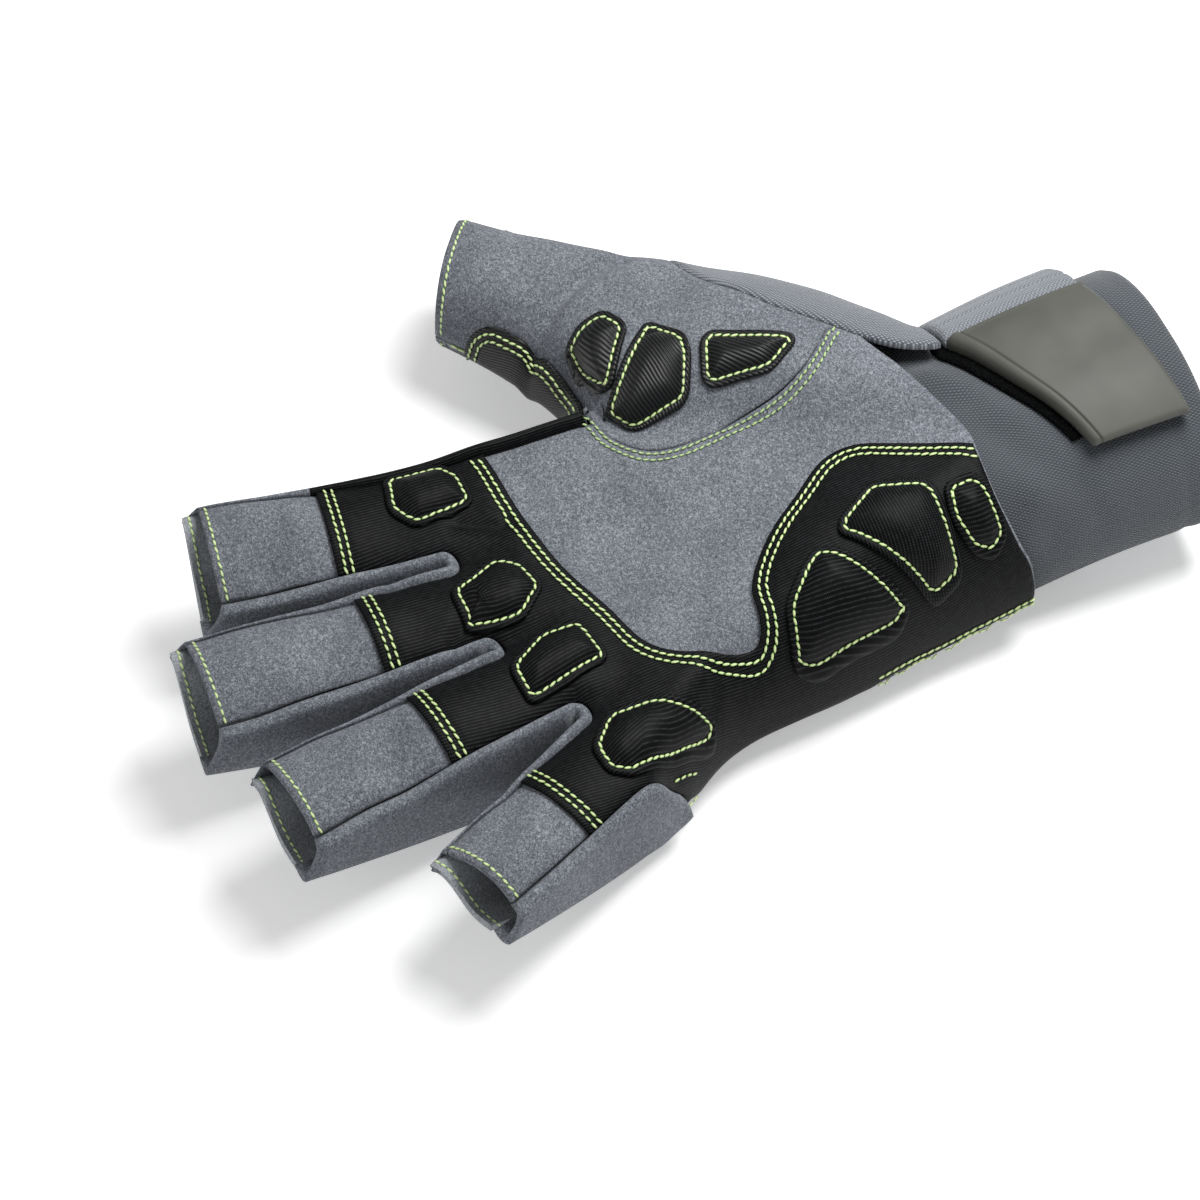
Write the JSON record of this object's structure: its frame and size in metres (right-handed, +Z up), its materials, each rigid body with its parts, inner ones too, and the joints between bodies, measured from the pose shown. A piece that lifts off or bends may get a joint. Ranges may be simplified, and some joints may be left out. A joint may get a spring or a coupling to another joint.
{
  "type": "sailing glove",
  "caption": "Right-hand sailing glove with open fingertips, suede palm, padded ribbed reinforcement and a knit wrist strap with a moulded pull tab",
  "frame": {"origin": "centre of the bounding box in plan, on the surface the glove lies on", "axes": "+Y from the wrist to the fingertips, +X to the thumb side, +Z up out of the palm"},
  "size_m": [0.16, 0.2046, 0.0446],
  "materials": {
    "suede": "matte napped",
    "ribbed_fabric": "ribbed twill, slight sheen",
    "mesh_knit": "fine mesh knit",
    "tab_rubber": "moulded, satin",
    "hook_fabric": "brushed"
  },
  "bodies": {
    "root": {"palm_panel": "suede", "thumb_panel": "suede", "thumb_back": "suede", "back_panel": "suede", "fourchette_index_middle": "suede", "fourchette_middle_ring": "suede", "fourchette_ring_pinky": "suede", "pinky_side_strip": "suede", "index_side_panel": "ribbed_fabric", "palm_patch": "ribbed_fabric", "web_patch": "ribbed_fabric", "pad_index": "ribbed_fabric", "pad_middle": "ribbed_fabric", "pad_ring": "ribbed_fabric", "pad_pinky": "ribbed_fabric", "heel_pad_outer": "ribbed_fabric", "heel_pad_middle": "ribbed_fabric", "heel_pad_wrist": "ribbed_fabric", "thenar_pad_upper": "ribbed_fabric", "thenar_pad_middle": "ribbed_fabric", "thenar_pad_wrist": "ribbed_fabric", "knit_side_panel": "mesh_knit", "cuff": "mesh_knit", "wrist_strap": "mesh_knit", "pull_tab": "tab_rubber", "hook_band": "hook_fabric"}
  },
  "joints": []
}
